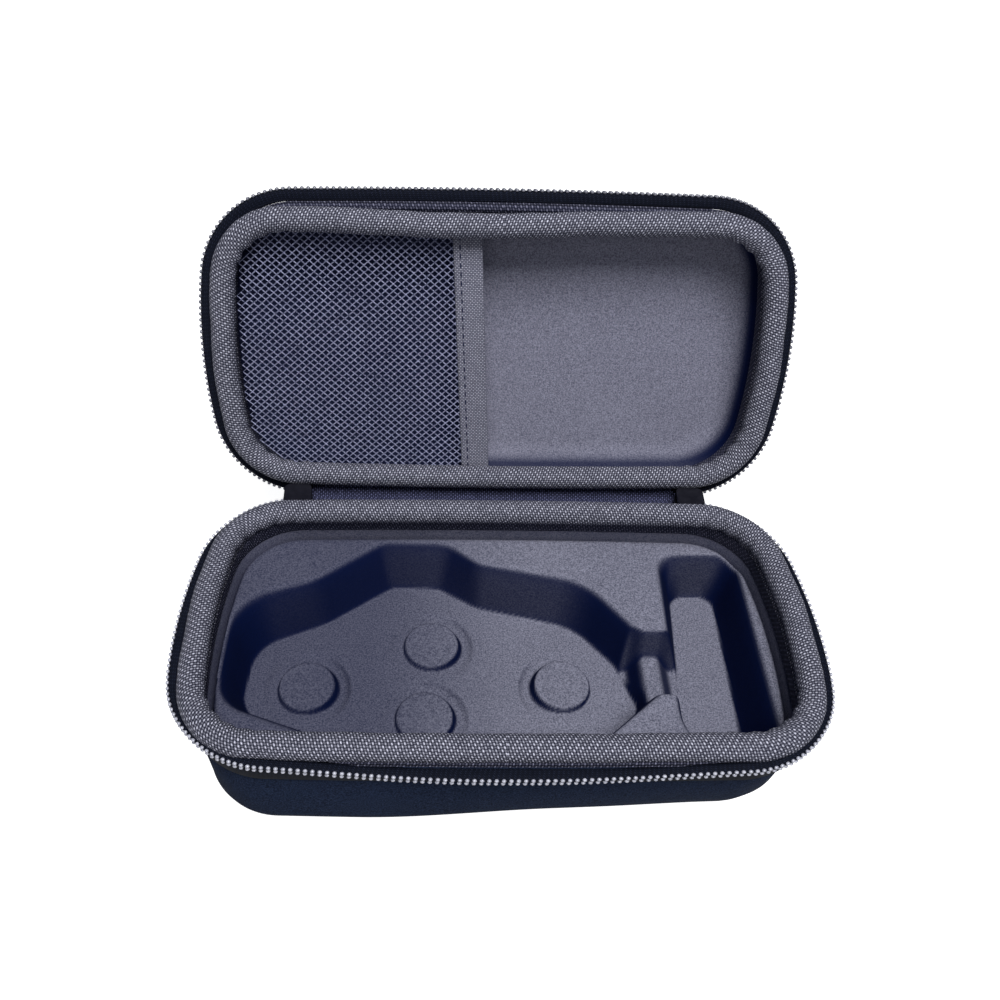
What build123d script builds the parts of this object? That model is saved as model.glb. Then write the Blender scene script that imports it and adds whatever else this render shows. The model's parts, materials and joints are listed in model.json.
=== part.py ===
"""Zip case for a computer mouse, opened: a moulded base with a fitted tray, and a lid with a mesh pocket.

All lengths are millimetres. X runs left to right, +Y to the hinge at the back, +Z up. The origin is the
centre of the base's flat underside. Both halves are made in a bowl frame, whose z = 0 is the plane where
the two rims meet when the case is shut and whose floor lies below it, and are then put in place.
"""

import os
from math import atan2, cos, degrees, pi, radians, sin

from build123d import *

# Moulded shells, measured over the outer skin at the cut rim
shell_width = 197.4
shell_depth = 103.6
shell_corner = 27.0
side_bow = 1.6
front_bow = 0.8
shell_wall = 3.0
draft_angle = 3.0
base_height = 49.65
base_edge_radius = 16.0
edge_facets = 5
lid_height = 28.0
lid_edge_radius = 12.4
rim_drop = 6.6

# Padded binding over each rim, its roll's middle set in from the skin
roll_diameter = 8.4
roll_sides = 12
roll_side_inset = 0.9
roll_front_inset = 4.8
roll_corner_inset = 4.0
closing_gap = 0.3
flap_thickness = 0.8
flap_bottom_drop = 15.6
tape_room = 12.0

# Small gap between pieces that are sewn or glued together
seat_gap = 0.12

# Zip: how far its teeth stand out from the skin, its tape, its coil, and the bare stretch at the back
zip_side_reach = 7.8
zip_front_reach = 4.7
zip_corner_reach = 7.0
zip_drop = 7.65
coil_gap = 0.36
tape_thickness = 0.7
tape_leg_height = 6.4
coil_width = 2.8
coil_height = 2.6
coil_rail_width = 1.3
tooth_pitch = 2.0
zip_end_inset = 29.7

# Fabric hinge, whose axis lies behind the skin and below the plane where the halves meet
hinge_strip_thickness = 0.9
hinge_strip_end_gap = 0.8
hinge_leg_height = 6.0
hinge_leg_drop = 8.5
hinge_sag = 3.3
hinge_axis_reach = 1.28
hinge_axis_drop = 5.88
lid_open_angle = 113.0

# Moulded tray
tray_gap = 0.6
tray_floor_gap = 0.12
tray_top_drop = 17.6
tray_edge_bevel = 1.4
hollow_floor_height = 10.5
hollow_draft = 4.0
hollow_edge_radius = 2.0
hollow_floor_radius = 2.5
saddle_height = 20.0
saddle_floor_radius = 1.5
rest_height = 2.6
rest_radius = 9.3
rest_draft = 1.2

# Lid pocket
net_thickness = 0.6
net_drop = 9.3
net_cell_width = 13.6
net_cell_height = 16.0
net_strand = 1.6
band_width = 10.2
band_thickness = 1.4
band_middle_x = -9.8
band_lean = 3.1

# Zip slider, parked past the end of the coils, and its pull
slider_park = 4.5
slider_length = 10.0
slider_width = 9.4
slider_plate = 1.0
slider_corner = 2.2
slider_bore = 3.0
slider_flange = 0.5
slider_tape_slot = 1.3
slider_offset = 0.7
wedge_width = 1.2
wedge_length = 3.0
bail_radius = 0.8
bail_drop = 2.0
bail_clearance = 0.08
ear_thickness = 0.9
ear_length = 3.4
ear_bevel = 0.9
pull_length = 20.0
pull_width = 4.4
pull_tip_width = 6.0
pull_thickness = 1.5
pull_eye_radius = 1.6
pull_side_gap = 0.3

# Plan points of the mouse hollow on its floor, with the radius of each corner
hollow_corners = [
    (-87.0, -33.5, 15.0),
    (-86.5, 10.5, 15.0),
    (-62.0, 21.5, 30.0),
    (-38.5, 38.5, 6.0),
    (-21.0, 38.0, 9.0),
    (-6.5, 29.0, 14.0),
    (29.0, 20.5, 26.0),
    (43.5, 3.0, 20.0),
    (49.5, -15.0, 6.0),
    (31.0, -33.5, 18.0),
]

# Plan points of the long slot on its floor, and of the saddle between the two on its crest
slot_corners = [
    (59.5, -38.0, 14.0),
    (68.0, 32.5, 6.0),
    (84.5, 32.5, 6.0),
    (82.5, -38.0, 6.0),
]
saddle_corners = [
    (44.0, -16.5, 3.0),
    (44.0, 1.0, 3.0),
    (66.0, 1.0, 3.0),
    (66.0, -16.5, 3.0),
]

# Plan centres of the four rests on the hollow's floor
rest_centres = [(-66.2, -6.7), (-23.1, 10.8), (-25.0, -18.5), (23.0, -5.6)]

# Outlines that follow from the shell's
roll_line_width = shell_width - 2 * roll_side_inset
roll_line_depth = shell_depth - 2 * roll_front_inset
roll_line_corner = shell_corner - roll_corner_inset
zip_width = shell_width + 2 * zip_side_reach
zip_depth = shell_depth + 2 * zip_front_reach
zip_corner = shell_corner + zip_corner_reach
zip_end_x = shell_width / 2 - zip_end_inset
slider_x = zip_end_x + slider_park
hinge_strip_width = 2 * (zip_end_x - hinge_strip_end_gap)
hinge_axis_y = shell_depth / 2 + hinge_axis_reach
hinge_axis_z = base_height - hinge_axis_drop

# Heights that follow from the ones above, in the bowl frame but for the tray's top
rim_z = -rim_drop
roll_z = -(roll_diameter + closing_gap) / 2
tape_bottom_z = -zip_drop - tape_thickness / 2
tape_leg_bottom_z = tape_bottom_z - tape_leg_height
tray_top = base_height - tray_top_drop


def outline_arcs(width, depth, corner):
    """Centres and radii of the arcs in a rounded outline whose four sides bow outwards a little."""
    corner_x = width / 2 - side_bow - corner
    corner_y = depth / 2 - front_bow - corner
    side_radius = ((side_bow + corner) ** 2 + corner_y**2 - corner**2) / (2 * side_bow)
    front_radius = ((front_bow + corner) ** 2 + corner_x**2 - corner**2) / (2 * front_bow)
    return corner_x, corner_y, side_radius, front_radius


def quarter_points(width, depth, corner):
    """Start, middle and end of the corner arc at +X +Y, from the right side round to the back."""
    corner_x, corner_y, side_radius, front_radius = outline_arcs(width, depth, corner)
    side_turn = atan2(corner_y, corner_x - (width / 2 - side_radius))
    back_turn = atan2(corner_y - (depth / 2 - front_radius), corner_x)
    turns = (side_turn, (side_turn + back_turn) / 2, back_turn)
    return [(corner_x + corner * cos(turn), corner_y + corner * sin(turn)) for turn in turns]


def outline_face(width, depth, corner, z=0.0):
    """Face of the rounded outline at height z."""
    start, middle, end = quarter_points(width, depth, corner)
    arcs = []
    for x_sign, y_sign in ((1, 1), (-1, 1), (-1, -1), (1, -1)):
        points = [(x_sign * x, y_sign * y) for x, y in (start, middle, end)]
        arcs.append(ThreePointArc(*points))
    for x_sign in (1, -1):
        side = (x_sign * width / 2, 0)
        arcs.append(ThreePointArc((x_sign * start[0], -start[1]), side, (x_sign * start[0], start[1])))
    for y_sign in (1, -1):
        side = (0, y_sign * depth / 2)
        arcs.append(ThreePointArc((-end[0], y_sign * end[1]), side, (end[0], y_sign * end[1])))
    return Pos(0, 0, z) * make_face(Wire.combine(arcs)[0])


def shell_face(inset, z):
    """Face of the shell's outline, inset from its skin, with the draft that it has at height z."""
    narrowing = inset + (rim_z - z) * sin(radians(draft_angle))
    width = shell_width - 2 * narrowing
    depth = shell_depth - 2 * narrowing
    return outline_face(width, depth, shell_corner - narrowing, z)


def bowl(inset, height, edge_radius, top_z):
    """Solid of the shell's form, inset all round from its skin, with its round edge in even facets."""
    radius = edge_radius - inset
    floor_z = inset - height
    rings = []
    for step in range(edge_facets + 1):
        turn = radians(90 * step / edge_facets)
        ring_inset = inset + radius * (1 - sin(turn))
        rings.append(shell_face(ring_inset, floor_z + radius * (1 - cos(turn))))
    rings.append(shell_face(inset, top_z))
    return loft(rings, ruled=True)


def wall_ring(outer_inset, inner_inset, bottom_z, top_z):
    """Thin ring that follows the shell's drafted wall between two heights."""
    outer = loft([shell_face(outer_inset, bottom_z), shell_face(outer_inset, top_z)], ruled=True)
    inner = loft([shell_face(inner_inset, bottom_z), shell_face(inner_inset, top_z)], ruled=True)
    return outer - inner


def moulded_shell(height, edge_radius):
    """Open moulded shell with an even wall and a large round edge."""
    skin = bowl(0, height, edge_radius, rim_z)
    hollow = bowl(shell_wall, height, edge_radius, rim_z + shell_wall)
    return skin - hollow


def roll():
    """Padded roll of binding tape, as high as the closing plane allows, its round section in facets."""
    path = outline_face(roll_line_width, roll_line_depth, roll_line_corner, roll_z).face().outer_wire()
    section_plane = Plane(origin=path @ 0, x_dir=(0, 0, 1), z_dir=path % 0)
    return sweep(section_plane * RegularPolygon(roll_diameter / 2, roll_sides), path=path)


def rim_binding():
    """Binding tape over the rim: the roll, and the flap that is stitched down inside the wall."""
    flap_inset = shell_wall + seat_gap
    flap = wall_ring(flap_inset, flap_inset + flap_thickness, -flap_bottom_drop, roll_z)
    wall_slot = wall_ring(-seat_gap, flap_inset, -flap_bottom_drop, rim_z + seat_gap)
    tape_space = wall_ring(-tape_room, -seat_gap, -flap_bottom_drop, tape_bottom_z + 2 * tape_thickness)
    return roll() + flap - wall_slot - tape_space


def back_block(half_width):
    """Block that holds everything at the back of the case between -half_width and half_width."""
    return Pos(0, shell_depth / 2, 0) * Box(2 * half_width, shell_depth / 2, 2 * base_height)


def zip_face(inset, z):
    """Face of the zip's outline, inset from the tooth heads."""
    return outline_face(zip_width - 2 * inset, zip_depth - 2 * inset, zip_corner - inset, z)


def zip_tape():
    """Woven tape: a leg sewn to the wall, and a flange that flares out to the coil."""
    flange = extrude(zip_face(coil_width + coil_gap, tape_bottom_z), tape_thickness)
    flange -= loft([shell_face(-seat_gap, tape_leg_bottom_z), shell_face(-seat_gap, 0)], ruled=True)
    leg_top_z = tape_bottom_z + tape_thickness
    leg = wall_ring(-seat_gap - tape_thickness, -seat_gap, tape_leg_bottom_z, leg_top_z)
    return flange + leg - back_block(zip_end_x)


def zip_line_point(inset, length):
    """Point of the zip's outline, inset from the tooth heads, at a length from the middle of the front."""
    corner_x, corner_y, side_radius, front_radius = outline_arcs(zip_width, zip_depth, zip_corner)
    side_turn = atan2(corner_y, corner_x - (zip_width / 2 - side_radius))
    front_turn = atan2(corner_x, corner_y - (zip_depth / 2 - front_radius))
    # The arcs from the front's middle round the right side to the back: centre, radius, first and last turn
    arcs = [
        (0.0, front_radius - zip_depth / 2, front_radius, -pi / 2, front_turn - pi / 2),
        (corner_x, -corner_y, zip_corner, front_turn - pi / 2, -side_turn),
        (zip_width / 2 - side_radius, 0.0, side_radius, -side_turn, side_turn),
        (corner_x, corner_y, zip_corner, side_turn, pi / 2 - front_turn),
        (0.0, zip_depth / 2 - front_radius, front_radius, pi / 2 - front_turn, pi / 2),
    ]
    left_over = abs(length)
    for x, y, radius, start, end in arcs:
        turn = start + left_over / radius
        if turn <= end:
            break
        left_over -= radius * (end - start)
    side = 1 if length >= 0 else -1
    return side * (x + (radius - inset) * cos(turn)), y + (radius - inset) * sin(turn)


def tooth_count():
    """How many teeth fit between the middle of the front and one end of the chain."""
    count = 0
    x, y = zip_line_point(0, 0)
    while y < 0 or x > zip_end_x:
        count += 1
        x, y = zip_line_point(0, (count + 1) * tooth_pitch)
    return count


def zip_coil(phase):
    """Nylon coil of one half: a rail along the tape's edge with a pointed head for each turn."""
    count = tooth_count()
    start = (phase - count) * tooth_pitch
    end = (phase + count) * tooth_pitch
    heads = []
    for index in range(2 * count):
        valley = start + index * tooth_pitch
        heads.append(zip_line_point(coil_width - coil_rail_width, valley))
        heads.append(zip_line_point(0, valley + tooth_pitch / 2))
    heads.append(zip_line_point(coil_width - coil_rail_width, end))
    stretches = count // 2
    steps = range(stretches + 1)
    rail = [zip_line_point(coil_width, start + (end - start) * step / stretches) for step in steps]
    comb = make_face(Polyline(*heads, *reversed(rail), close=True))
    return Pos(0, 0, -zip_drop - coil_height / 2) * extrude(comb, coil_height)


def slider_frame():
    """Where the right slider sits: in the bowl frame, on the end of the chain, with X along the zip."""
    length = 0.0
    x, y = zip_line_point(0, length)
    while y < 0 or x > slider_x:
        length += tooth_pitch / 8
        x, y = zip_line_point(0, length)
    next_x, next_y = zip_line_point(0, length + tooth_pitch)
    lean = degrees(atan2(y - next_y, x - next_x))
    return Pos(x, y, -zip_drop) * Rot(0, 0, lean) * Pos(0, slider_offset, 0)


def zip_slider():
    """Zip slider: two plates round the coils, a wedge between them, and ears with a bail below."""
    plate_z = slider_bore / 2 + slider_plate / 2
    plate = RectangleRounded(slider_length, slider_width, slider_corner)
    slider = Solid()
    for side in (1, -1):
        slider += Pos(0, 0, side * plate_z - slider_plate / 2) * extrude(plate, slider_plate)
    walls = Pos(0, 0, -slider_bore / 2) * extrude(plate, slider_bore)
    walls -= Box(slider_length, slider_width - 2 * slider_flange, slider_bore)
    walls -= Box(slider_length, slider_width, slider_tape_slot)
    wedge = Pos(slider_length / 2 - wedge_length / 2, 0, 0) * Box(wedge_length, wedge_width, slider_bore)
    slider += walls + wedge
    plate_bottom = -slider_bore / 2 - slider_plate
    ear_y = pull_width / 2 + pull_side_gap + ear_thickness / 2
    ear_bottom = bail_drop + bail_radius
    ear_profile = Pos(0, -ear_bottom / 2) * Rectangle(ear_length, ear_bottom)
    ear_profile = chamfer(ear_profile.vertices().group_by(Axis.Y)[0], ear_bevel)
    for side in (1, -1):
        ear_plane = Plane(origin=(0, side * ear_y, plate_bottom), x_dir=(1, 0, 0), z_dir=(0, -1, 0))
        slider += extrude(ear_plane * ear_profile, ear_thickness / 2, both=True)
    bail = Rot(90, 0, 0) * Cylinder(bail_radius, 2 * ear_y)
    slider += Pos(0, 0, plate_bottom - bail_drop) * bail
    return slider


def zip_pull():
    """Pull tab: an eye round the slider's bail and a plain tapered tab that hangs from it."""
    bail_z = -slider_bore / 2 - slider_plate - bail_drop
    eye = Rot(90, 0, 0) * Cylinder(pull_eye_radius, pull_width)
    tab = Polygon(
        (-pull_width / 2, 0),
        (pull_width / 2, 0),
        (pull_tip_width / 2, -pull_length),
        (-pull_tip_width / 2, -pull_length),
        align=None,
    )
    tab = fillet(tab.vertices().group_by(Axis.Y)[0], pull_tip_width / 2 - seat_gap)
    tab_plane = Plane(origin=(0, 0, 0), x_dir=(0, 1, 0), z_dir=(1, 0, 0))
    pull = eye + extrude(tab_plane * tab, pull_thickness / 2, both=True)
    pull -= Rot(90, 0, 0) * Cylinder(bail_radius + bail_clearance, 2 * pull_width)
    return Pos(0, 0, bail_z) * pull


def hinge_strip():
    """Fabric strip stitched to both back walls, sagging between them while the lid is open."""
    middle_y = shell_depth / 2 + seat_gap + hinge_strip_thickness / 2
    top = (middle_y, base_height - hinge_leg_drop)
    bottom = (middle_y, base_height - hinge_leg_drop - hinge_leg_height)
    lid_top = opened_point(middle_y, base_height + hinge_leg_drop)
    lid_bottom = opened_point(middle_y, base_height + hinge_leg_drop + hinge_leg_height)
    sag = ((top[0] + lid_top[0]) / 2, (top[1] + lid_top[1]) / 2 - hinge_sag)
    line = Wire([Line(bottom, top), ThreePointArc(top, sag, lid_top), Line(lid_top, lid_bottom)])
    section = make_face(offset(line, hinge_strip_thickness / 2))
    side = Plane(origin=(-hinge_strip_width / 2, 0, 0), x_dir=(0, 1, 0), z_dir=(1, 0, 0))
    return extrude(side * section, hinge_strip_width)


def band_face():
    """Plan face of the elastic band, longer than the lid is deep."""
    return Pos(band_middle_x, 0, 0) * Rot(0, 0, -band_lean) * Rectangle(band_width, 2 * shell_depth)


def pocket_face():
    """Plan face of the lid's inside between the stitched flaps, at the height of the net."""
    return Pos(0, 0, net_drop) * shell_face(shell_wall + flap_thickness + 2 * seat_gap, -net_drop)


def pocket_net():
    """Mesh over the left of the lid, stitched in under the binding and along the elastic band."""
    right_side = Pos(band_middle_x + shell_width / 2, 0, 0) * Rectangle(shell_width, 2 * shell_depth)
    panel = pocket_face() - right_side - band_face()
    columns = int(shell_width / net_cell_width)
    rows = int(shell_depth / net_cell_height)
    half_width = (net_cell_width - net_strand) / 2
    half_height = (net_cell_height - net_strand) / 2
    cell = Polygon((half_width, 0), (0, half_height), (-half_width, 0), (0, -half_height))
    inner = offset(panel, -net_strand, kind=Kind.INTERSECTION)
    cells = []
    for column in range(-columns, 1):
        for row in range(-rows, rows + 1):
            if (column + row) % 2:
                continue
            place = Pos(column * net_cell_width / 2 + band_middle_x, row * net_cell_height / 2)
            cells.append(place * cell)
    panel -= [hole & inner for hole in cells]
    return Pos(0, 0, -net_drop - net_thickness / 2) * extrude(panel, net_thickness)


def pocket_band():
    """Elastic band across the lid on the net's free edge."""
    band = band_face() & pocket_face()
    return Pos(0, 0, -net_drop - band_thickness / 2) * extrude(band, band_thickness)


def raise_base(piece):
    """From the bowl frame to the base's place."""
    return Pos(0, 0, base_height) * piece


def open_lid(piece):
    """From the bowl frame to the lid's place: turned over on to the base, then opened about the hinge."""
    shut = Pos(0, 0, base_height) * mirror(piece, about=Plane.XY)
    return shut.rotate(Axis((0, hinge_axis_y, hinge_axis_z), (-1, 0, 0)), lid_open_angle)


def opened_point(y, z):
    """Where a point of the shut lid, given by y and z, lies when the lid is open."""
    across = y - hinge_axis_y
    above = z - hinge_axis_z
    turn = radians(lid_open_angle)
    return (
        hinge_axis_y + across * cos(turn) + above * sin(turn),
        hinge_axis_z - across * sin(turn) + above * cos(turn),
    )


def rounded_polygon(corners, growth, z):
    """Face of a closed outline of (x, y, radius) corners, moved outwards by growth."""
    count = len(corners)
    moved = []
    for index in range(count):
        x, y, radius = corners[index]
        before = corners[index - 1]
        after = corners[(index + 1) % count]
        along_in = (Vector(x, y) - Vector(before[0], before[1])).normalized()
        along_out = (Vector(after[0], after[1]) - Vector(x, y)).normalized()
        out_in = Vector(-along_in.Y, along_in.X)
        out_out = Vector(-along_out.Y, along_out.X)
        shift = (out_in + out_out) * (growth / (1 + out_in.dot(out_out)))
        turns_in = along_in.cross(along_out).Z < 0
        new_radius = radius + growth if turns_in else max(radius - growth, 1)
        moved.append(((x + shift.X, y + shift.Y), new_radius))
    points = [point for point, radius in moved]
    radii = [radius for point, radius in moved]
    outline = FilletPolyline(*points, radius=radii, close=True)
    return Pos(0, 0, z) * make_face(outline)


def drafted_pocket(corners, floor_z, floor_radius):
    """Solid of a moulded hollow: a round floor edge, leaning walls, and a soft flare at the top."""
    wall_bottom = floor_z + floor_radius
    wall_top = tray_top - hollow_edge_radius
    growth = hollow_draft * (wall_top - wall_bottom) / (tray_top - hollow_floor_height)
    sections = []
    for turn in (0, 45):
        narrowing = floor_radius * (1 - sin(radians(turn)))
        drop = floor_radius * cos(radians(turn))
        sections.append(rounded_polygon(corners, -narrowing, wall_bottom - drop))
    sections.append(rounded_polygon(corners, 0, wall_bottom))
    for turn in (0, 45, 90):
        flare = hollow_edge_radius * (1 - cos(radians(turn)))
        rise = hollow_edge_radius * sin(radians(turn))
        sections.append(rounded_polygon(corners, growth + flare, wall_top + rise))
    sections.append(rounded_polygon(corners, growth + hollow_edge_radius, tray_top + 1))
    return loft(sections, ruled=True)


def insert_tray():
    """Moulded tray with the mouse hollow, the long slot and the saddle between them."""
    tray_bottom = tray_floor_gap + shell_wall
    inset = shell_wall + tray_gap
    sections = [shell_face(inset, tray_bottom - base_height), shell_face(inset, -tray_top_drop)]
    block = loft(sections, ruled=True)
    block = chamfer(block.edges().group_by(Axis.Z)[0], base_edge_radius - inset)
    tray = raise_base(block)
    tray = chamfer(tray.edges().group_by(Axis.Z)[-1], tray_edge_bevel)
    tray -= drafted_pocket(hollow_corners, hollow_floor_height, hollow_floor_radius)
    tray -= drafted_pocket(slot_corners, hollow_floor_height, hollow_floor_radius)
    tray -= drafted_pocket(saddle_corners, saddle_height, saddle_floor_radius)
    for x, y in rest_centres:
        foot = Pos(x, y, hollow_floor_height - 1) * Circle(rest_radius + rest_draft)
        rest = extrude(foot, rest_height + 1)
        tray += chamfer(rest.edges().group_by(Axis.Z)[-1], rest_draft)
    return tray


def build():
    """Every piece of the case by name."""
    binding = rim_binding()
    tape = zip_tape()
    slider = raise_base(slider_frame() * zip_slider())
    pull = raise_base(slider_frame() * zip_pull())
    return {
        "base_shell": raise_base(moulded_shell(base_height, base_edge_radius)),
        "lid_shell": open_lid(moulded_shell(lid_height, lid_edge_radius)),
        "base_binding": raise_base(binding),
        "lid_binding": open_lid(binding),
        "base_zip_tape": raise_base(tape),
        "lid_zip_tape": open_lid(tape),
        "base_zip_coil": raise_base(zip_coil(0.5)),
        "lid_zip_coil": open_lid(zip_coil(0.0)),
        "hinge_strip": hinge_strip(),
        "insert_tray": insert_tray(),
        "pocket_net": open_lid(pocket_net()),
        "pocket_band": open_lid(pocket_band()),
        "right_slider": slider,
        "left_slider": mirror(slider, about=Plane.YZ),
        "right_pull": pull,
        "left_pull": mirror(pull, about=Plane.YZ),
    }


os.makedirs("parts", exist_ok=True)
for node, piece in build().items():
    export_step(piece, f"parts/{node}.step")
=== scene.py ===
"""Open zip case for a computer mouse on a table: the looks of every piece, built over its frame.

All lengths are metres in the case's own frame: X to the right, +Y to the hinge at the back, +Z up, and
the origin in the middle of the base's flat underside. Both halves are shaped in a bowl frame, where
z = 0 is the plane in which the rims meet when the case is shut, and then put in place.
"""

import json
import math

import bmesh
import bpy
import numpy
from mathutils import Matrix, Vector, noise
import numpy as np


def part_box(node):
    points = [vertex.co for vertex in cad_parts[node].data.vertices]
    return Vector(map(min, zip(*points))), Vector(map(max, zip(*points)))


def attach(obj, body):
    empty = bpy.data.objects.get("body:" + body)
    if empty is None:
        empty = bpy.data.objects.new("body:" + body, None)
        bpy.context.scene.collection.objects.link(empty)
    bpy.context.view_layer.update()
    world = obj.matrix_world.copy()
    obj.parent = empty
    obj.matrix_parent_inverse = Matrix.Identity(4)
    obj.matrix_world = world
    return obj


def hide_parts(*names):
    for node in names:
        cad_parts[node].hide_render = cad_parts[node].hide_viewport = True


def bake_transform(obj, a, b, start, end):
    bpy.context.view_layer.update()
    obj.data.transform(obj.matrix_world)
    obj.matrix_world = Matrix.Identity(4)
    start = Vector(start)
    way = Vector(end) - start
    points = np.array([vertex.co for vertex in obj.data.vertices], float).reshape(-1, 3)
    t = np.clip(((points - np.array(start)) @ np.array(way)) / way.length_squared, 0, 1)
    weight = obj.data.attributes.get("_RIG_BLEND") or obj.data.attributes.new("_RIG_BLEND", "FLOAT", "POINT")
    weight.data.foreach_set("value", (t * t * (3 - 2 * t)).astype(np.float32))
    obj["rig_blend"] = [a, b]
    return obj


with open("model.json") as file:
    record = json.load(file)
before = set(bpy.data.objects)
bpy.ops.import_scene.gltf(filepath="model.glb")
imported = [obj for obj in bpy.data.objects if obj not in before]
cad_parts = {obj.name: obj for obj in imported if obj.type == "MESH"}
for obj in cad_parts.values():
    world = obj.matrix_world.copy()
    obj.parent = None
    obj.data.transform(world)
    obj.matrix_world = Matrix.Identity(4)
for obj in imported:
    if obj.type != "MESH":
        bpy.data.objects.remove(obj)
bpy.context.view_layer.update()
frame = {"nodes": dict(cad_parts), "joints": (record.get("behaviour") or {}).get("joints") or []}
mm = 0.001

# Table, light and camera. The table is a plain pale sheet that runs out of sight. A broad soft lamp
# hangs over the case, so the hollows' floors are light and their walls dark (their colour also holds painted
# shade), and a weak one is in front.

table_size = 6.0
table_grey = 0.6
table_lift = 0.95
room_light = 0.06
room_tint = (0.4, 0.6, 1.0, 1)
aim_point = (0.0, 0.03, 0.05)

table_mesh = bmesh.new()
bmesh.ops.create_grid(table_mesh, x_segments=1, y_segments=1, size=table_size / 2)
table_data = bpy.data.meshes.new("table")
table_mesh.to_mesh(table_data)
table_mesh.free()
table = bpy.data.objects.new("table", table_data)
bpy.context.collection.objects.link(table)


def feed(tree, socket, value):
    """Gives an input socket a plain value, or a link from another node's socket."""
    if isinstance(value, bpy.types.NodeSocket):
        tree.links.new(value, socket)
    else:
        socket.default_value = value


def add_node(tree, kind, values=None):
    """New node of a kind, with its inputs fed from a dictionary by name or number."""
    node = tree.nodes.new(kind)
    for name, value in (values or {}).items():
        feed(tree, node.inputs[name], value)
    return node


def math_node(tree, operation, *values):
    """Math node fed with sockets or plain numbers; returns its output socket."""
    node = add_node(tree, "ShaderNodeMath", dict(enumerate(values)))
    node.operation = operation
    return node.outputs[0]


table_finish = bpy.data.materials.new("table_finish")
table_finish.use_nodes = True
tree = table_finish.node_tree
tree.nodes.clear()
matt = add_node(tree, "ShaderNodeBsdfDiffuse", {"Color": (table_grey, table_grey, table_grey, 1)})
rays = add_node(tree, "ShaderNodeLightPath")
strength = math_node(tree, "MULTIPLY", rays.outputs["Is Camera Ray"], table_lift)
glow = add_node(tree, "ShaderNodeEmission", {"Color": (1, 1, 1, 1), "Strength": strength})
both = add_node(tree, "ShaderNodeAddShader", {0: matt.outputs[0], 1: glow.outputs[0]})
add_node(tree, "ShaderNodeOutputMaterial", {"Surface": both.outputs[0]})
table_data.materials.append(table_finish)

world = bpy.data.worlds.new("room")
bpy.context.scene.world = world
world.use_nodes = True
tree = world.node_tree
tree.nodes.clear()
soft = add_node(tree, "ShaderNodeBackground", {"Color": room_tint, "Strength": room_light})
white = add_node(tree, "ShaderNodeBackground", {"Color": (1, 1, 1, 1), "Strength": 1.0})
rays = add_node(tree, "ShaderNodeLightPath")
choice = {0: rays.outputs["Is Camera Ray"], 1: soft.outputs[0], 2: white.outputs[0]}
level = add_node(tree, "ShaderNodeMixShader", choice)
add_node(tree, "ShaderNodeOutputWorld", {"Surface": level.outputs[0]})


def add_lamp(name, place, size, power):
    """Square lamp at place that faces the case."""
    lamp = bpy.data.lights.new(name, "AREA")
    lamp.shape = "SQUARE"
    lamp.size = size
    lamp.energy = power
    holder = bpy.data.objects.new(name, lamp)
    bpy.context.collection.objects.link(holder)
    holder.location = place
    holder.rotation_euler = (Vector(aim_point) - Vector(place)).to_track_quat("-Z", "Y").to_euler()


add_lamp("top_lamp", place=(0.1, -0.3, 1.05), size=0.55, power=14.0)
add_lamp("front_lamp", place=(-0.1, -1.1, 0.6), size=0.8, power=2.8)

picture_width = 1000
focal_px = 888.6
sensor_mm = 36.0
camera_place = (-19.242 * mm, -172.619 * mm, 283.999 * mm)
camera_yaw = math.radians(2.232)
camera_pitch = math.radians(46.499)
camera_roll = math.radians(2.241)
centre_px = (467.471, 498.09)

camera_data = bpy.data.cameras.new("camera")
camera_data.sensor_width = sensor_mm
camera_data.lens = sensor_mm * focal_px / picture_width
camera_data.shift_x = (picture_width / 2 - centre_px[0]) / picture_width
camera_data.shift_y = (centre_px[1] - picture_width / 2) / picture_width
camera_data.clip_start = 0.01
camera = bpy.data.objects.new("camera", camera_data)
bpy.context.collection.objects.link(camera)
bpy.context.scene.camera = camera
ahead = Vector(
    (
        math.sin(camera_yaw) * math.cos(camera_pitch),
        math.cos(camera_yaw) * math.cos(camera_pitch),
        -math.sin(camera_pitch),
    )
)
level_right = Vector((math.cos(camera_yaw), -math.sin(camera_yaw), 0))
level_up = level_right.cross(ahead)
right = level_right * math.cos(camera_roll) + level_up * math.sin(camera_roll)
up = level_up * math.cos(camera_roll) - level_right * math.sin(camera_roll)
turn = Matrix((right, up, -ahead)).transposed()
camera.matrix_world = Matrix.Translation(camera_place) @ turn.to_4x4()

bpy.context.scene.view_settings.view_transform = "Standard"

# Base and lid shells: a sheet of foam pressed hot in a mould between two stretch knits, a smooth dark
# one outside and a softer one inside, then cut off flat at the rim. The lid is the same form, less deep.

side_bow = 1.6 * mm
front_bow = 0.8 * mm
shell_low, shell_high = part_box("base_shell")
shell_width = shell_high.x - shell_low.x
shell_depth = shell_high.y - shell_low.y
shell_corner = 27 * mm
shell_wall = 3 * mm
draft_degrees = 3
draft = math.sin(math.radians(draft_degrees))
rim_drop = 6.6 * mm
base_height = shell_high.z + rim_drop
base_edge_radius = 16 * mm
lid_height = 28 * mm
lid_edge_radius = 12.4 * mm
slump_height = 22 * mm
slump_way = Vector((0, -0.9, -0.4))
slump_left = 3.2 * mm
slump_right = 1.8 * mm
slump_front_reach = (5 * mm, 35 * mm)
slump_left_reach = (-25 * mm, 45 * mm)
slump_right_reach = (15 * mm, 75 * mm)
# Painted shade on the lining's walls grows with steepness over this range, and is less where a wall faces
# front.
steepness = (0.1, 0.6)
front_light_share = 0.3
front_narrowing = 8
band_middle_x = -9.8 * mm
band_lean = math.radians(3.1)
round_steps = 420
fillet_steps = 10

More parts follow.
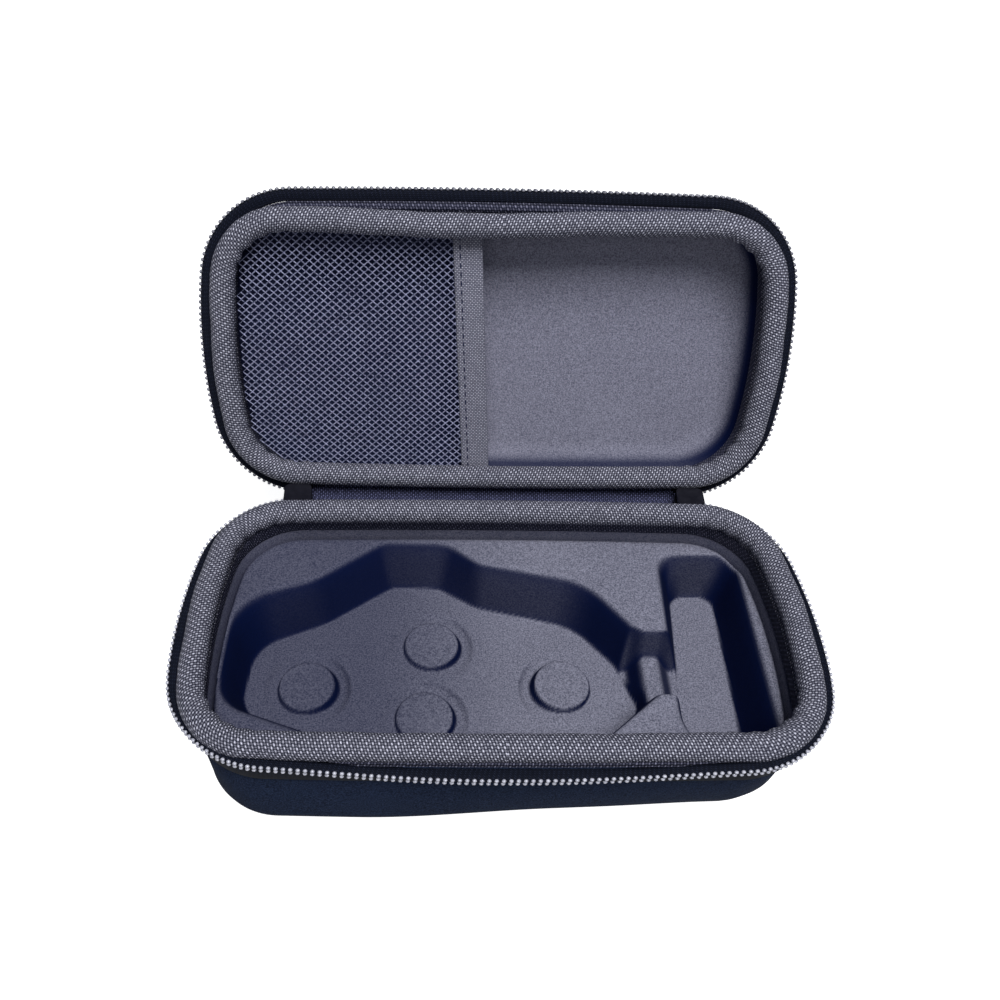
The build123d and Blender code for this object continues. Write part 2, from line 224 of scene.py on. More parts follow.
hinge = next(joint for joint in frame["joints"] if joint["name"] == "lid_hinge")
hinge_place = Vector(hinge["pos_m"])
open_angle = -math.radians(hinge["range_deg"][0])
place_base = Matrix.Translation((0, 0, base_height))
turn_lid = (
    Matrix.Translation(hinge_place)
    @ Matrix.Rotation(open_angle, 4, Vector(hinge["axis"]))
    @ Matrix.Translation(-hinge_place)
)
place_lid = turn_lid @ place_base @ Matrix.Scale(-1, 4, (0, 0, 1))


def make_plan(width, depth, corner):
    """Arcs of a rounded outline with bowed sides, from mid front round the right to the back."""
    x = width / 2 - side_bow - corner
    y = depth / 2 - front_bow - corner
    side_radius = ((side_bow + corner) ** 2 + y**2 - corner**2) / (2 * side_bow)
    front_radius = ((front_bow + corner) ** 2 + x**2 - corner**2) / (2 * front_bow)
    side_turn = math.atan2(y, x - (width / 2 - side_radius))
    front_turn = math.atan2(x, y - (depth / 2 - front_radius))
    quarter = math.pi / 2
    return [
        (0, front_radius - depth / 2, front_radius, -quarter, front_turn - quarter),
        (x, -y, corner, front_turn - quarter, -side_turn),
        (width / 2 - side_radius, 0, side_radius, -side_turn, side_turn),
        (x, y, corner, side_turn, quarter - front_turn),
        (0, depth / 2 - front_radius, front_radius, quarter - front_turn, quarter),
    ]


def half_length(plan):
    """Length of a plan from the middle of the front to the middle of the back."""
    return sum(radius * (end - start) for x, y, radius, start, end in plan)


def plan_point(plan, length):
    """Point and outward direction of a plan at a length from mid front, to the right if positive."""
    left_over = abs(length)
    for x, y, radius, start, end in plan:
        angle = start + left_over / radius
        if angle <= end:
            break
        left_over -= radius * (end - start)
    side = 1 if length >= 0 else -1
    out = Vector((side * math.cos(angle), math.sin(angle), 0))
    return Vector((side * x, y, 0)) + out * radius, out


def share_point(plan, share, inset, height):
    """Point at a share of the way round a plan from mid front, inset and at a height."""
    whole = 2 * half_length(plan)
    length = share * whole
    point, out = plan_point(plan, length if share <= 0.5 else length - whole)
    return point - out * inset + Vector((0, 0, height))


def extrude_edges(mesh, edges):
    """Extrudes edges; returns the new vertices and the edges between them."""
    made = bmesh.ops.extrude_edge_only(mesh, edges=edges)["geom"]
    verts = {item for item in made if isinstance(item, bmesh.types.BMVert)}
    edges = [item for item in made if isinstance(item, bmesh.types.BMEdge)]
    return verts, [edge for edge in edges if edge.verts[0] in verts and edge.verts[1] in verts]


def run_round(profile):
    """Bmesh of a profile, a list of (plan, inset, height), run round the case, its UV map in metres."""
    mesh = bmesh.new()
    column = mesh.verts.layers.int.new("column")
    row = mesh.verts.layers.int.new("row")
    ring = bmesh.ops.create_circle(mesh, segments=round_steps, radius=1)["verts"]
    for index, vert in enumerate(ring):
        vert[column] = index
    edges = mesh.edges[:]
    travelled = [0.0]
    before = share_point(profile[0][0], 0, *profile[0][1:])
    for index, (plan, inset, height) in enumerate(profile):
        if index:
            ring, edges = extrude_edges(mesh, edges)
            here = share_point(plan, 0, inset, height)
            travelled.append(travelled[-1] + (here - before).length)
            before = here
        for vert in ring:
            vert[row] = index
            vert.co = share_point(plan, vert[column] / round_steps, inset, height)
    uv = mesh.loops.layers.uv.new("UVMap")
    around = 2 * half_length(profile[0][0])
    for face in mesh.faces:
        columns = [loop.vert[column] for loop in face.loops]
        for loop, number in zip(face.loops, columns):
            if max(columns) - min(columns) > 1 and number == 0:
                number = round_steps
            loop[uv].uv = (number / round_steps * around, travelled[loop.vert[row]])
        face.smooth = True
    return mesh


def arc_profile(plan, centre_inset, centre_height, radius, start, end, steps):
    """Profile points on an arc, with angles in degrees from straight outwards, turning upwards."""
    points = []
    for step in range(steps + 1):
        angle = math.radians(start + (end - start) * step / steps)
        inset = centre_inset - radius * math.cos(angle)
        points.append((plan, inset, centre_height + radius * math.sin(angle)))
    return points


def add_piece(name, node, mesh, place, body, slot, *materials):
    """The bmesh as a finished object in place, riding on a body and replacing a node of the frame."""
    bmesh.ops.transform(mesh, matrix=place, verts=mesh.verts)
    bmesh.ops.recalc_face_normals(mesh, faces=mesh.faces)
    data = bpy.data.meshes.new(name)
    mesh.to_mesh(data)
    mesh.free()
    for material in materials:
        data.materials.append(material)
    piece = bpy.data.objects.new(name, data)
    bpy.context.collection.objects.link(piece)
    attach(piece, body)
    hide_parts(node)
    return piece


def new_pattern(name, inputs):
    """Empty shader node group that gives a colour and a height; returns it with its two ends."""
    group = bpy.data.node_groups.new(name, "ShaderNodeTree")
    for label, kind in inputs.items():
        group.interface.new_socket(name=label, in_out="INPUT", socket_type="NodeSocket" + kind)
    for label, kind in (("Color", "Color"), ("Height", "Float")):
        group.interface.new_socket(name=label, in_out="OUTPUT", socket_type="NodeSocket" + kind)
    return group, group.nodes.new("NodeGroupInput"), group.nodes.new("NodeGroupOutput")


def mix_colour(tree, share, first, second):
    """Colour between first and second, each a socket or a plain colour; returns its output socket."""
    node = add_node(tree, "ShaderNodeMix")
    node.data_type = "RGBA"
    for name, value in (("Factor", share), ("A", first), ("B", second)):
        feed(tree, next(item for item in node.inputs if item.name == name and item.enabled), value)
    return next(item for item in node.outputs if item.enabled)


# Fine stretch knit: tiny loops of lighter and darker yarn, and broad patches where it was pressed
knit_inputs = {"Vector": "Vector", "Dark": "Color", "Light": "Color", "Loop Scale": "Float"}
knit_group, entry, leave = new_pattern("stretch_knit", knit_inputs)
knit_contrast = 2.4
patch_contrast = 0.24
dimple_depth = 0.8
place = entry.outputs["Vector"]
loop_scale = entry.outputs["Loop Scale"]
fuzz_scale = math_node(knit_group, "MULTIPLY", loop_scale, 1.2)
loops = add_node(knit_group, "ShaderNodeTexVoronoi", {"Vector": place, "Scale": loop_scale})
fine = {"Vector": place, "Scale": fuzz_scale, "Detail": 1.0, "Roughness": 0.7}
fuzz = add_node(knit_group, "ShaderNodeTexNoise", fine)
patches = add_node(knit_group, "ShaderNodeTexNoise", {"Vector": place, "Scale": 35.0, "Detail": 2.0})
low_end = 0.5 - knit_contrast / 2
grain = math_node(knit_group, "MULTIPLY_ADD", fuzz.outputs["Fac"], knit_contrast, low_end)
slow = math_node(knit_group, "MULTIPLY_ADD", patches.outputs["Fac"], patch_contrast, -patch_contrast / 2)
share = math_node(knit_group, "ADD", grain, slow)
share.node.use_clamp = True
shade = mix_colour(knit_group, share, entry.outputs["Dark"], entry.outputs["Light"])
dimples = math_node(knit_group, "MULTIPLY", loops.outputs["Distance"], dimple_depth)
relief = math_node(knit_group, "SUBTRACT", fuzz.outputs["Fac"], dimples)
knit_group.links.new(shade, leave.inputs["Color"])
knit_group.links.new(relief, leave.inputs["Height"])


def new_finish(name, roughness, gloss):
    """New material with its node tree and its shader."""
    material = bpy.data.materials.new(name)
    material.use_nodes = True
    tree = material.node_tree
    shader = tree.nodes["Principled BSDF"]
    shader.inputs["Roughness"].default_value = roughness
    shader.inputs["Specular IOR Level"].default_value = gloss
    return material, tree, shader


def cloth_finish(name, pattern, settings, bump_height, roughness, gloss, darkened_colour=None):
    """Material of a cloth with a pattern group; it takes the darkened colour as far as the darkening
    attribute says, which holds painted shade.
    """
    material, tree, shader = new_finish(name, roughness, gloss)
    cloth = add_node(tree, "ShaderNodeGroup")
    cloth.node_tree = pattern
    for label, value in settings.items():
        cloth.inputs[label].default_value = value
    if "UV" in cloth.inputs:
        place = add_node(tree, "ShaderNodeUVMap")
        place.uv_map = "UVMap"
        tree.links.new(place.outputs["UV"], cloth.inputs["UV"])
    else:
        place = add_node(tree, "ShaderNodeTexCoord")
        tree.links.new(place.outputs["Object"], cloth.inputs["Vector"])
    colour = cloth.outputs["Color"]
    if darkened_colour:
        darkening_mask = add_node(tree, "ShaderNodeAttribute")
        darkening_mask.attribute_name = "stretch"
        colour = mix_colour(tree, darkening_mask.outputs["Fac"], colour, darkened_colour)
    bump = {"Distance": bump_height, "Height": cloth.outputs["Height"]}
    relief = add_node(tree, "ShaderNodeBump", bump)
    tree.links.new(colour, shader.inputs["Base Color"])
    tree.links.new(relief.outputs["Normal"], shader.inputs["Normal"])
    return material


def knit_finish(name, dark, light, loops, bump_height, roughness, darkened_colour=None):
    """Material of a fine stretch knit."""
    settings = {"Dark": dark, "Light": light, "Loop Scale": loops}
    return cloth_finish(name, knit_group, settings, bump_height, roughness, 0.05, darkened_colour)


def smooth_step(value, start, end):
    """From 0 at start to 1 at end, with soft ends."""
    share = min(max((value - start) / (end - start), 0), 1)
    return share * share * (3 - 2 * share)


def mark_stretch(mesh):
    """Notes on each vertex how much painted shade it takes: most on steep walls, less if they face front, as
    painted light from the front.
    """
    stretch = mesh.verts.layers.float.new("stretch")
    mesh.normal_update()
    for vert in mesh.verts:
        steep = smooth_step(1 - abs(vert.normal.z), *steepness)
        facing_front = max(-vert.normal.y, 0) ** front_narrowing
        vert[stretch] = steep * (1 - front_light_share * facing_front)


skin_dark = (0.003, 0.005, 0.014, 1)
skin_light = (0.017, 0.028, 0.06, 1)
lining_dark = (0.09, 0.092, 0.13, 1)
lining_light = (0.25, 0.25, 0.32, 1)
# Dark navy painted on steep walls as painted shade; the tray also takes it towards its left.
stretched = (0.002, 0.006, 0.036, 1)
# Lining colours darkened as a painted shadow under the lid's net; the band's stitches are dark thread in
# these same colours.
net_shadow_and_stitch_dark = (0.003, 0.005, 0.02, 1)
net_shadow_and_stitch_light = (0.02, 0.025, 0.06, 1)
skin_loops = 1700
lining_loops = 1600
knit_bump = 0.12 * mm
skin_finish = knit_finish("skin_finish", skin_dark, skin_light, skin_loops, knit_bump, 0.75)
lining = (lining_loops, knit_bump, 0.95)
lining_finish = knit_finish("lining_finish", lining_dark, lining_light, *lining, stretched)
net_shadow_finish = knit_finish("net_shadow_finish", net_shadow_and_stitch_dark, net_shadow_and_stitch_light, *lining)

shell_plan = make_plan(shell_width, shell_depth, shell_corner)
rim_z = -rim_drop


def drafted(inset, height):
    """Inset of the shell's leaning wall at a height in the bowl frame."""
    return inset + (rim_z - height) * draft


def bowl_profile(inset, height, edge_radius):
    """Profile of one side of the moulded sheet: from its floor, up round the edge, to the cut rim."""
    radius = edge_radius - inset
    floor = inset - height
    centre_inset = drafted(inset, floor + radius) + radius
    turn = (-90, -draft_degrees, fillet_steps)
    arc = arc_profile(shell_plan, centre_inset, floor + radius, radius, *turn)
    return arc + [(shell_plan, drafted(inset, rim_z), rim_z)]


def slump(point):
    """How the base is uneven: its lower front edge is fuller on the left and rounder on the right."""
    above_floor = point.z + base_height
    round_part = math.sin(math.pi * min(above_floor / slump_height, 1)) ** 2
    front = smooth_step(-point.y, *slump_front_reach)
    fuller = slump_left * smooth_step(-point.x, *slump_left_reach)
    rounder = slump_right * smooth_step(point.x, *slump_right_reach)
    return slump_way * (fuller - rounder) * round_part * front


def band_side(x, y):
    """How far a plan point lies to the right of the band's middle line."""
    return (x - band_middle_x) * math.cos(band_lean) - y * math.sin(band_lean)


def make_shell(name, node, height, edge_radius, place, body):
    """One shell: skin, lining and the cut rim between; the lid's lining under the net is painted dark, a
    painted shadow of the net.
    """
    skin = bowl_profile(0, height, edge_radius)
    lining = bowl_profile(shell_wall, height, edge_radius)
    mesh = run_round(skin + lining[::-1])
    mark_stretch(mesh)
    if body == "base":
        for vert in mesh.verts:
            vert.co += slump(vert.co)
    row = mesh.verts.layers.int["row"]
    for face in mesh.faces:
        if max(vert[row] for vert in face.verts) >= len(skin):
            face.material_index = 1
    open_edges = [edge for edge in mesh.edges if edge.is_boundary]
    for face in bmesh.ops.holes_fill(mesh, edges=open_edges)["faces"]:
        face.material_index = 1 if face.verts[0][row] else 0
    # On the lid, the lining left of the band takes the darker finish: painted shadow under the net.
    if body == "lid":
        lined = [face for face in mesh.faces if face.material_index]
        parts = set(lined)
        for face in lined:
            parts.update(face.edges, face.verts)
        across = (math.cos(band_lean), -math.sin(band_lean), 0)
        bmesh.ops.bisect_plane(mesh, geom=list(parts), plane_co=(band_middle_x, 0, 0), plane_no=across)
        for face in mesh.faces:
            middle = face.calc_center_median()
            if face.material_index and band_side(middle.x, middle.y) < 0:
                face.material_index = 2
    shell = add_piece(name, node, mesh, place, body, "skin", skin_finish, lining_finish, net_shadow_finish)


make_shell("base_shell_skin", "base_shell", base_height, base_edge_radius, place_base, "base")
make_shell("lid_shell_skin", "lid_shell", lid_height, lid_edge_radius, place_lid, "lid")

# Rim bindings: coarse woven nylon tape folded over each cut rim and over the zip's tape, padded out to
# a roll by what it covers, with its inner edge stitched down flat on the lining as a flap.

roll_radius = 4.2 * mm
closing_gap = 0.3 * mm
roll_side_inset = 0.9 * mm
roll_front_inset = 4.8 * mm
roll_corner = 23 * mm
flap_thickness = 0.8 * mm
# The flap from its top to its bottom edge, in mm: how far it stands off, and how far down it is
flap_line = [(0.9, 8.6), (-0.3, 9.2), (0.25, 9.8), (0.1, 11.6), (0.15, 14.9), (-0.1, 15.6)]
seat_gap = 0.12 * mm
yarn_pitch = 0.92 * mm
roll_sag = 2.6 * mm
roll_sag_middle = -12 * mm
roll_sag_reach = 48 * mm
roll_from = -55
roll_to = 232
roll_steps = 34
roll_rows = roll_steps + 2
roll_side_share = 0.3
gather_step = 1.15
gather_depth = 0.4 * mm
gather_side = (58 * mm, 76 * mm)
gather_end = (18 * mm, 32 * mm)
gather_rows = (14, 30)
wrinkles = [(260, 0.16 * mm), (60, 0.35 * mm)]
calm_share = 0.8
calm_back = (20 * mm, 40 * mm)

roll_plan = make_plan(shell_width - 2 * roll_side_inset, shell_depth - 2 * roll_front_inset, roll_corner)
roll_z = -roll_radius - closing_gap / 2

# Plain weave on a UV map in metres: two sets of yarns that pass over and under each other
weave_inputs = {"UV": "Vector", "Pitch": "Float", "Slant": "Float", "Dark": "Color", "Light": "Color"}
weave_group, entry, leave = new_pattern("plain_weave", weave_inputs)
yarn_wander = 0.3 * mm
warp_share = 0.6
sheen_power = 2.2
glint_spread = 0.6


def yarn_math(operation, *values):
    """Math node of the weave group."""
    return math_node(weave_group, operation, *values)


place = entry.outputs["UV"]
wobble = add_node(weave_group, "ShaderNodeTexNoise", {"Vector": place, "Scale": 260.0, "Detail": 1.0})
split = add_node(weave_group, "ShaderNodeSeparateXYZ", {0: place})
uneven = yarn_math("MULTIPLY", yarn_math("SUBTRACT", wobble.outputs["Fac"], 0.5), yarn_wander)
leaning = yarn_math("MULTIPLY", split.outputs["Y"], entry.outputs["Slant"])
along = yarn_math("ADD", yarn_math("ADD", split.outputs["X"], leaning), uneven)
along = yarn_math("DIVIDE", along, entry.outputs["Pitch"])
across = yarn_math("ADD", split.outputs["Y"], uneven)
across = yarn_math("DIVIDE", across, entry.outputs["Pitch"])


def yarn_height(lengthwise, crosswise, offset):
    """Height of one set of yarns: round across its width, rising and dipping along its length."""
    hump = yarn_math("SINE", yarn_math("MULTIPLY", yarn_math("FRACT", crosswise), math.pi))
    phase = yarn_math("ADD", yarn_math("ADD", lengthwise, yarn_math("FLOOR", crosswise)), offset)
    wave = yarn_math("COSINE", yarn_math("MULTIPLY", phase, math.pi))
    return yarn_math("MULTIPLY", hump, yarn_math("MULTIPLY_ADD", wave, 0.5, 0.5))


warp = yarn_math("MULTIPLY", yarn_height(along, across, -0.5), warp_share)
weft = yarn_height(across, along, 0.5)
top_yarn = yarn_math("MAXIMUM", warp, weft)
steps = {"X": yarn_math("FLOOR", along), "Y": yarn_math("FLOOR", across)}
crossing = add_node(weave_group, "ShaderNodeCombineXYZ", steps)
chance = add_node(weave_group, "ShaderNodeTexWhiteNoise", {"Vector": crossing.outputs[0]})
chance.noise_dimensions = "2D"
# Colour follows the yarn: tops painted light and gaps painted dark as painted highlight and shade, with a
# random painted glint on each crossing.
glint = yarn_math("MULTIPLY_ADD", chance.outputs["Value"], glint_spread, 1 - glint_spread / 2)
tone = yarn_math("MULTIPLY", yarn_math("POWER", top_yarn, sheen_power), glint)
shade = mix_colour(weave_group, tone, entry.outputs["Dark"], entry.outputs["Light"])
weave_group.links.new(shade, leave.inputs["Color"])
weave_group.links.new(top_yarn, leave.inputs["Height"])


def weave_finish(name, dark, light, pitch, slant, bump_height, roughness):
    """Material of a plain woven tape."""
    settings = {"Dark": dark, "Light": light, "Pitch": pitch, "Slant": slant}
    return cloth_finish(name, weave_group, settings, bump_height, roughness, 0.1)


binding_dark = (0.003, 0.005, 0.018, 1)
binding_light = (0.6, 0.6, 0.72, 1)
# The flap's copy of the weave is darker: painted shade under the roll.
flap_shade_light = (0.2, 0.2, 0.28, 1)
binding_slant = 0.3
binding_bump = 0.3 * mm
weave = (yarn_pitch, binding_slant, binding_bump, 0.6)
binding_finish = weave_finish("binding_finish", binding_dark, binding_light, *weave)
flap_shade_finish = weave_finish("flap_shade_finish", binding_dark, flap_shade_light, *weave)


def make_binding(name, node, sag, place, body):
    """Roll and flap of one rim, gathered inside the corners; the roll of its front sags by sag."""
    profile = arc_profile(roll_plan, 0, roll_z, roll_radius, roll_from, roll_to, roll_steps)
    wall_face = shell_wall + seat_gap
    flap_face = wall_face + flap_thickness
    profile += [(shell_plan, flap_face + swell * mm, -drop * mm) for swell, drop in flap_line]
    profile += [
        (shell_plan, wall_face, -flap_line[-1][1] * mm),
        (shell_plan, wall_face, rim_z + seat_gap),
        (shell_plan, -seat_gap, rim_z + seat_gap),
        profile[0],
    ]
    mesh = run_round(profile)
    row = mesh.verts.layers.int["row"]
    column = mesh.verts.layers.int["column"]
    for vert in mesh.verts:
        if vert[row] > roll_rows:
            continue
        outwards = Vector((vert.co.x * roll_side_share, vert.co.y, 0)).normalized()
        wrinkle = sum(noise.noise(vert.co * scale) * depth for scale, depth in wrinkles)
        wrinkle *= 1 - calm_share * smooth_step(vert.co.y, *calm_back)
        corner = smooth_step(abs(vert.co.x), *gather_side) * smooth_step(abs(vert.co.y), *gather_end)
        inner = smooth_step(vert[row], *gather_rows)
        gather = math.sin(vert[column] * gather_step) * gather_depth * corner * inner
        vert.co += outwards * (wrinkle + gather)
        if vert.co.y < 0:
            off_middle = (vert.co.x - roll_sag_middle) / roll_sag_reach
            vert.co.y += sag * math.exp(-off_middle * off_middle)
    # The flap takes the darker copy of the weave, as painted shade under the roll.
    for face in mesh.faces:
        if max(vert[row] for vert in face.verts) > roll_rows:
            face.material_index = 1
    bmesh.ops.remove_doubles(mesh, verts=mesh.verts, dist=0.001 * mm)
    binding = add_piece(name, node, mesh, place, body, "binding", binding_finish, flap_shade_finish)


make_binding("base_rim_binding", "base_binding", 0.0, place_base, "base")
make_binding("lid_rim_binding", "lid_binding", roll_sag, place_lid, "lid")

# Zip tapes: thin woven tape, one to each half, with one edge sewn to the wall below the binding and the
# other flaring out to carry the coil. It stops short of mid back, where the hinge strip is.

zip_side_reach = 7.8 * mm
zip_front_reach = 4.7 * mm
zip_corner = 34 * mm
zip_drop = 7.65 * mm
tape_thickness = 0.7 * mm
tape_leg_height = 6.4 * mm
coil_width = 2.8 * mm
core_half = 0.7 * mm
core_inset = 0.6 * mm
core_bevel = 0.5 * mm
core_rounding = 0.4 * mm
core_slope = 1.2 * mm
tuck_inwards = 2.8 * mm
tuck_up = 1.6 * mm
tuck_side = (5 * mm, 92 * mm)
tuck_end = (18 * mm, 50 * mm)
tuck_right_share = 0.75
zip_end_x = shell_width / 2 - 29.7 * mm

zip_plan = make_plan(shell_width + 2 * zip_side_reach, shell_depth + 2 * zip_front_reach, zip_corner)
tape_dark = (0.001, 0.002, 0.006, 1)
tape_light = (0.016, 0.02, 0.04, 1)
tape_finish = weave_finish("tape_finish", tape_dark, tape_light, 0.7 * mm, 0.8, 0.2 * mm, 0.7)


def cut_back(mesh):
    """Takes out the stretch between the zip's two ends at the back, and closes the cut ends."""
    gone = []
    for face in mesh.faces:
        middle = face.calc_center_median()
        if middle.y > 0 and abs(middle.x) < zip_end_x:
            gone.append(face)
    bmesh.ops.delete(mesh, geom=gone, context="FACES")
    bmesh.ops.holes_fill(mesh, edges=[edge for edge in mesh.edges if edge.is_boundary])


def tuck(point, out):
    """How the base's zip is drawn in under the roll, and up, at the two front corners."""
    if point.y > 0:
        return Vector((0, 0, 0))
    share = smooth_step(abs(point.x), *tuck_side) * smooth_step(-point.y, *tuck_end)
    if point.x > 0:
        share *= tuck_right_share
    return (Vector((0, 0, tuck_up)) - out * tuck_inwards) * share


def make_tape(name, node, place, body):
    """One half's tape: sewn leg, flange, and its edge folded over the cord inside the coil."""
    bottom = -zip_drop - tape_thickness / 2
    top = bottom + tape_thickness
    core_top = -zip_drop + core_half
    core_bottom = -zip_drop - core_half
    profile = [
        (zip_plan, core_inset + core_bevel, core_top),
        (zip_plan, coil_width, core_top),
        (zip_plan, coil_width + core_slope, top),
        (shell_plan, -seat_gap, top),
        (shell_plan, -seat_gap, bottom - tape_leg_height),
        (shell_plan, -seat_gap - tape_thickness, bottom - tape_leg_height),
        (shell_plan, -seat_gap - tape_thickness, bottom - core_bevel),
        (zip_plan, coil_width + core_slope, bottom),
        (zip_plan, coil_width, core_bottom),
        (zip_plan, core_inset + core_bevel, core_bottom),
        (zip_plan, core_inset, core_bottom + core_rounding),
        (zip_plan, core_inset, core_top - core_rounding),
        (zip_plan, core_inset + core_bevel, core_top),
    ]
    mesh = run_round(profile)
    if body == "base":
        row = mesh.verts.layers.int["row"]
        column = mesh.verts.layers.int["column"]
        for vert in mesh.verts:
            if profile[vert[row]][0] is zip_plan:
                out = share_point(zip_plan, vert[column] / round_steps, -1, 0)
                out -= share_point(zip_plan, vert[column] / round_steps, 0, 0)
                vert.co += tuck(vert.co, out)
    bmesh.ops.remove_doubles(mesh, verts=mesh.verts, dist=0.001 * mm)
    cut_back(mesh)
    tape = add_piece(name, node, mesh, place, body, "zip_tape", tape_finish)


make_tape("base_tape", "base_zip_tape", place_base, "base")
make_tape("lid_tape", "lid_zip_tape", place_lid, "lid")

# Zip coils: a nylon thread wound round a dark cord and sewn along each tape. The end of each turn shows
# as two glossy beads, one above the cord and one below, where the other half's turns would lock between.

tooth_pitch = 2.12 * mm
bead_radius = (0.66 * mm, 0.55 * mm, 0.48 * mm)
bead_rise = 0.82 * mm
bead_shift = 0.1 * mm


def make_coil_finish(name, dark, light):
    """Material of glossy nylon thread, uneven in tone."""
    material, tree, shader = new_finish(name, 0.25, 1.0)
    place = add_node(tree, "ShaderNodeTexCoord")
    streaks = add_node(tree, "ShaderNodeTexNoise", {"Vector": place.outputs["Object"], "Scale": 700.0})
    tree.links.new(mix_colour(tree, streaks.outputs["Fac"], dark, light), shader.inputs["Base Color"])
    return material


# The same nylon in two tones: the base's coil painted lighter for painted highlights, the lid's darker as
# painted shade.
base_coil_lit_finish = make_coil_finish("base_coil_lit_finish", (0.15, 0.16, 0.21, 1), (0.65, 0.65, 0.74, 1))
lid_coil_shaded_finish = make_coil_finish("lid_coil_shaded_finish", (0.02, 0.022, 0.03, 1), (0.28, 0.28, 0.34, 1))


def tooth_mesh():
    """The two beads of one turn, with X along the tape's edge and Y inwards."""
    mesh = bmesh.new()
    for side in (1, -1):
        place = Matrix.Translation((bead_shift * side, bead_radius[1], bead_rise * side))
        shape = place @ Matrix.Diagonal((*bead_radius, 1))
        bmesh.ops.create_uvsphere(mesh, u_segments=10, v_segments=6, radius=1, matrix=shape)
    for face in mesh.faces:
        face.smooth = True
    data = bpy.data.meshes.new("tooth")
    mesh.to_mesh(data)
    mesh.free()
    return data


tooth = tooth_mesh()


def make_coil(name, node, phase, place, body, finish):
    """All the turns of one half's coil."""
    mesh = bmesh.new()
    count = 0
    point, out = plan_point(zip_plan, 0)
    while point.y < 0 or point.x > zip_end_x:
        count += 1
        point, out = plan_point(zip_plan, (count + 1) * tooth_pitch)
    for index in range(-count, count):
        point, out = plan_point(zip_plan, (index + phase) * tooth_pitch)
        if body == "base":
            point += tuck(point, out)
        inwards = Matrix((Vector((-out.y, out.x, 0)), -out, Vector((0, 0, 1)))).transposed().to_4x4()
        old = len(mesh.verts)
        mesh.from_mesh(tooth)
        mesh.verts.ensure_lookup_table()
        seat = Matrix.Translation(point - Vector((0, 0, zip_drop))) @ inwards
        bmesh.ops.transform(mesh, matrix=seat, verts=mesh.verts[old:])
    add_piece(name, node, mesh, place, body, "zip_coil", finish)


make_coil("base_coil", "base_zip_coil", 0.5, place_base, "base", base_coil_lit_finish)
make_coil("lid_coil", "lid_zip_coil", 0.0, place_lid, "lid", lid_coil_shaded_finish)

# Insert tray: the same knit over foam, pressed in one mould, with the mouse hollow and its four rests, a
# long slot, and the low saddle between them. Every edge is soft. It drops into the base and is glued.

tray_gap = 1.8 * mm
tray_edge_bend = 1.6 * mm
tray_top = 32.05 * mm
tray_skirt = 9 * mm
hollow_floor = 10.5 * mm
cell = 0.5 * mm
floor_bend = 2.5 * mm
top_bend = 9.0 * mm
# Corners in mm, each with the radius that rounds it
hollow_corners = [
    (-88.5, -17.5, 13), (-86.5, 10.5, 15), (-62, 21.5, 30), (-38.5, 38.5, 6),
    (-21, 38, 9), (-6.5, 29, 14), (29, 20.5, 26), (43.5, 3, 20),
    (49.5, -15, 6), (31, -33.5, 18), (-40, -33.5, 20),
]
hollow_top_corners = [
    (-92, -23, 14), (-92, 17, 17), (-66, 24.5, 28), (-42, 43, 7),
    (-17.5, 43, 10), (-6.5, 33.5, 12), (32, 25.5, 22), (49, 3, 8),
    (53, -18.5, 4), (30, -38, 18), (-45, -40, 20),
]
slot_corners = [(62, -34, 14), (68, 35, 6), (84.5, 35, 6), (82.5, -38, 6)]
slot_top_corners = [(57.5, -38.5, 14), (60.5, 38.5, 6), (89, 38.5, 7), (88.5, -43, 8)]
slot_blend = 2.5 * mm
saddle_crest = 20.0 * mm
saddle_left = 50.5 * mm
saddle_right = 56.5 * mm
saddle_back = 1.5 * mm
saddle_front = -17.0 * mm
saddle_end_slope = 4.0
saddle_reach = 13 * mm
saddle_fade = 4 * mm
saddle_left_slope = 2.4
saddle_right_slope = 1.7
saddle_rounding = 1.5 * mm
saddle_blend = 3 * mm
# Places of the rests in mm, and the side in degrees that the groove round each lies on
rests = [(-66.2, -6.7, 25), (-23.1, 10.8, 30), (-25, -18.5, 40), (23, -5.6, 160)]
rest_radius = 9.3 * mm
rest_height = 2.8 * mm
rest_edge = 1.1 * mm
rest_groove = 6.0 * mm
rest_groove_depth = 1.3 * mm
rest_groove_lean = 0.6
tray_edge_share = 0.98
left_darkening_share = 0.58
left_darkening_from = 18 * mm
left_darkening_reach = 70 * mm


def rounded_outline(corners):
    """Points round a closed outline of (x, y, radius) corners in mm, each corner turned by an arc."""
    points = []
    count = len(corners)
    for index in range(count):
        x, y, radius = corners[index]
        here = Vector((x, y)) * mm
        before = Vector(corners[index - 1][:2]) * mm
        after = Vector(corners[(index + 1) % count][:2]) * mm
        back = (before - here).normalized()
        on = (after - here).normalized()
        half = back.angle(on) / 2
        centre = here + (back + on).normalized() * (radius * mm / math.sin(half))
        start = here + back * (radius * mm / math.tan(half))
        sweep = math.pi - 2 * half
        sign = 1 if back.x * on.y - back.y * on.x < 0 else -1
        spoke = start - centre
        for step in range(9):
            points.append(centre + Matrix.Rotation(sign * sweep * step / 8, 2) @ spoke)
    return numpy.array(points)


def signed_distance(points, outline):
    """Distance of each point from a closed outline, negative inside it."""
    nearest = numpy.full(len(points), 1.0)
    inside = numpy.zeros(len(points), bool)
    for index in range(len(outline)):
        start = outline[index - 1]
        end = outline[index]
        side = end - start
        length = max(side @ side, 1e-12)
        share = numpy.clip(((points - start) @ side) / length, 0, 1)
        gap = points - start - share[:, None] * side
        nearest = numpy.minimum(nearest, numpy.hypot(gap[:, 0], gap[:, 1]))
        crosses = (start[1] > points[:, 1]) != (end[1] > points[:, 1])
        rise = side[1] or 1
        left = points[:, 0] < start[0] + (points[:, 1] - start[1]) * side[0] / rise
        inside ^= crosses & left
    return numpy.where(inside, -nearest, nearest)


